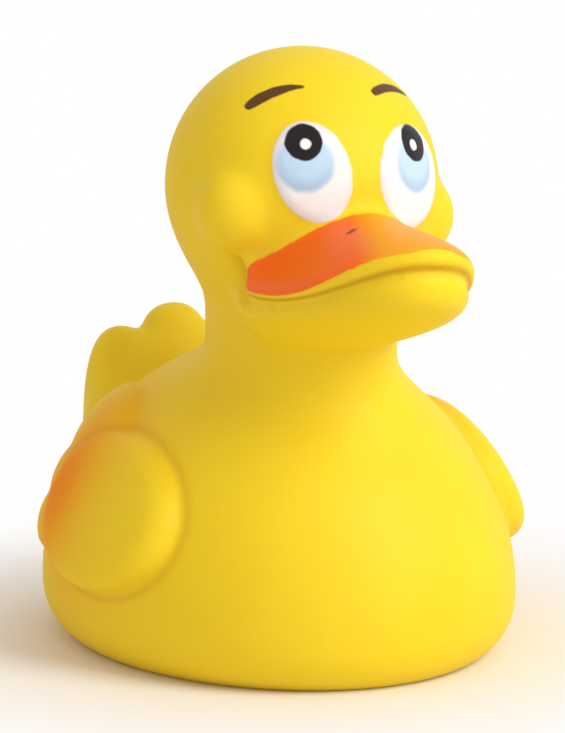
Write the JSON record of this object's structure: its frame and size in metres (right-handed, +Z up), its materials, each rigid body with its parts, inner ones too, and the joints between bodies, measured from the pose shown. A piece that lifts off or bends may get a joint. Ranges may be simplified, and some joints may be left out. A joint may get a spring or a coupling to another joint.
{
  "type": "rubber duck",
  "caption": "Bath toy duck of soft rubber: flat-bottomed round body, relief wings, upturned fan tail, round head with upward-looking painted eyes and a broad drooping bill.",
  "frame": {"origin": "middle of the flat underside, on the axis of the body", "axes": "+Z up from the underside to the crown, -Y forward along the bill, +X towards the duck's own left side"},
  "size_m": [0.0738, 0.0892, 0.0899],
  "materials": {
    "yellow_rubber": "matt yellow natural rubber with painted face and orange wing and bill tints"
  },
  "bodies": {
    "root": {"duck": "yellow_rubber"}
  },
  "joints": []
}
